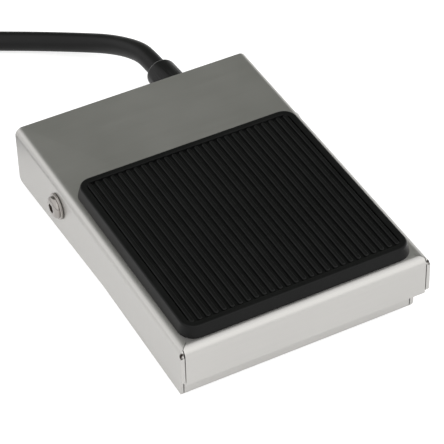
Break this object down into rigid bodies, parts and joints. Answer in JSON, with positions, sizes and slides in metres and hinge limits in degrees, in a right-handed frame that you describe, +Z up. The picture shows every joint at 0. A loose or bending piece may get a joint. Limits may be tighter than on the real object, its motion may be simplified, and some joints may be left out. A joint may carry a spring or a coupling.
{
  "type": "foot switch",
  "caption": "Low pedal foot switch of folded sheet steel: a wedge cover with a ribbed rubber pad, hinged on a shallow tray that holds a snap-action switch, with a round lead from the back.",
  "frame": {"origin": "on the floor, under the middle of the pedal's length and width", "axes": "+X to the user's right, +Y to the back where the lead comes out, +Z up"},
  "size_m": [0.1841, 0.2291, 0.0306],
  "materials": {
    "steel": "satin",
    "rubber": "matte",
    "bright_steel": "polished",
    "bush_plastic": "matte",
    "switch_plastic": "matte",
    "plunger_plastic": "matte",
    "tinned_brass": "satin",
    "gland_plastic": "satin",
    "cable_sheath": "satin",
    "tie_plastic": "satin",
    "brown_wire": "satin",
    "blue_wire": "satin",
    "earth_wire": "satin"
  },
  "bodies": {
    "base": {"base_tray": "steel", "bracket_rivets": "bright_steel", "cable_coil": "cable_sheath", "cable_lead": "cable_sheath", "cable_tail": "cable_sheath", "cable_tie": "tie_plastic", "earth_nut": "bright_steel", "earth_stud": "bright_steel", "earth_tag": "tinned_brass", "free_wire_left": "brown_wire", "free_wire_middle": "blue_wire", "free_wire_right": "earth_wire", "gland_body": "gland_plastic", "gland_cap": "gland_plastic", "gland_gasket": "rubber", "gland_nut": "gland_plastic", "gland_seal": "rubber", "inner_cable": "cable_sheath", "pivot_bush_left": "bush_plastic", "pivot_bush_right": "bush_plastic", "pivot_nut_left": "bright_steel", "pivot_nut_right": "bright_steel", "pivot_screw_left": "bright_steel", "pivot_screw_right": "bright_steel", "pivot_washer_left": "bright_steel", "pivot_washer_right": "bright_steel", "rest_stops": "rubber", "return_spring_left": "bright_steel", "return_spring_right": "bright_steel", "rubber_feet": "rubber", "spring_pins": "bright_steel", "switch_body": "switch_plastic", "switch_bracket": "steel", "switch_nuts": "bright_steel", "switch_screws": "bright_steel", "switch_terminals": "tinned_brass", "travel_stops": "rubber", "wire_back": "blue_wire", "wire_earth": "earth_wire", "wire_ferrules": "tinned_brass", "wire_front": "brown_wire"},
    "pedal": {"pedal_cover": "steel", "rubber_pad": "rubber", "press_nut": "bright_steel", "press_screw": "bright_steel", "spring_studs": "bright_steel"},
    "lever": {"switch_lever": "bright_steel"},
    "plunger": {"switch_plunger": "plunger_plastic"}
  },
  "joints": [
    {"name": "pedal_hinge", "type": "hinge", "parent": "base", "child": "pedal", "pos_m": [0, 0.0271, 0.0167], "axis": [1, 0, 0], "range_deg": [0, 4], "stiffness_Nm_per_rad": 15, "springref_deg": -2.86, "deforming": ["return_spring_left", "return_spring_right"]},
    {"name": "lever_hinge", "type": "hinge", "parent": "base", "child": "lever", "pos_m": [0, -0.0014, 0.0161], "axis": [1, 0, 0], "range_deg": [0, 13.4]},
    {"name": "plunger_slide", "type": "slide", "parent": "base", "child": "plunger", "axis": [0, 0, -1], "range_m": [0, 0.00115]}
  ],
  "couplings": [
    {"joint": "lever_hinge", "follows": "pedal_hinge", "ratio": 3.3},
    {"joint": "plunger_slide", "follows": "pedal_hinge", "m_per_rad": 0.01576}
  ]
}
